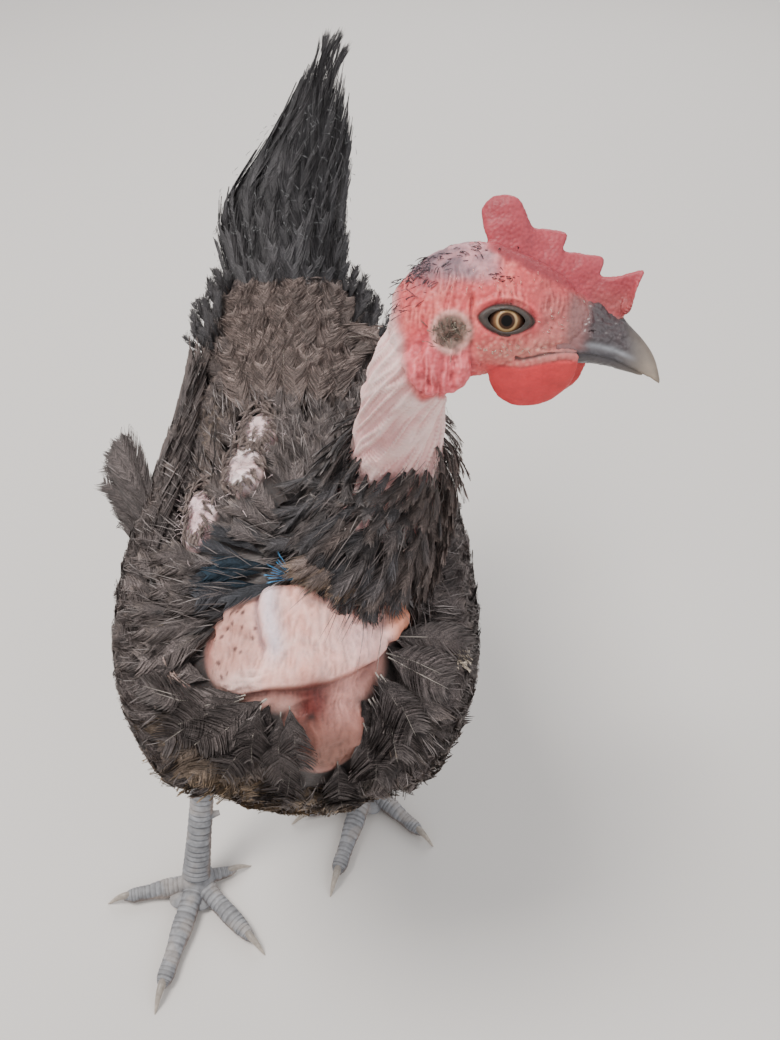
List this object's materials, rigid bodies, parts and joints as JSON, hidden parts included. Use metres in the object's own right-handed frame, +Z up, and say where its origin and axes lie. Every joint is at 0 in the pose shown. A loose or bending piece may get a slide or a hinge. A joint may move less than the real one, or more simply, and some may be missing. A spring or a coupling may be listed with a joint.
{
  "type": "naked-neck chicken",
  "caption": "Life-size bare-necked village chicken standing with its head turned, dark feathers, red comb and wattles, grey scaled legs.",
  "frame": {"origin": "middle of the bounding box's base, on the floor between the feet", "axes": "-Y the way the breast faces, +X the bird's left side, +Z up"},
  "size_m": [0.2323, 0.3522, 0.4013],
  "materials": {
    "body_feathers": "matt dark brown feathers",
    "tail_feathers": "black feathers with a slight gloss",
    "bare_skin": "soft bare pink skin",
    "face_skin": "rough red facial skin",
    "comb_flesh": "soft red comb and wattles",
    "horn": "smooth dark horn, paler at the tip",
    "eye": "wet and glossy",
    "leg_scales": "dry blue-grey scales",
    "claw_horn": "pale horn"
  },
  "bodies": {
    "root": {"bill_lower": "horn", "bill_upper": "horn", "claw_hind_left": "claw_horn", "claw_hind_right": "claw_horn", "claw_inner_left": "claw_horn", "claw_inner_right": "claw_horn", "claw_middle_left": "claw_horn", "claw_middle_right": "claw_horn", "claw_outer_left": "claw_horn", "claw_outer_right": "claw_horn", "comb": "comb_flesh", "eye_left": "eye", "eye_right": "eye", "head": "face_skin", "neck": "bare_skin", "neck_collar": "body_feathers", "shank_left": "leg_scales", "shank_right": "leg_scales", "tail": "tail_feathers", "thigh_left": "body_feathers", "thigh_right": "body_feathers", "toe_hind_left": "leg_scales", "toe_hind_right": "leg_scales", "toe_inner_left": "leg_scales", "toe_inner_right": "leg_scales", "toe_middle_left": "leg_scales", "toe_middle_right": "leg_scales", "toe_outer_left": "leg_scales", "toe_outer_right": "leg_scales", "torso": "body_feathers", "wattle_left": "comb_flesh", "wattle_right": "comb_flesh", "wing_left": "body_feathers", "wing_right": "body_feathers"}
  },
  "joints": []
}
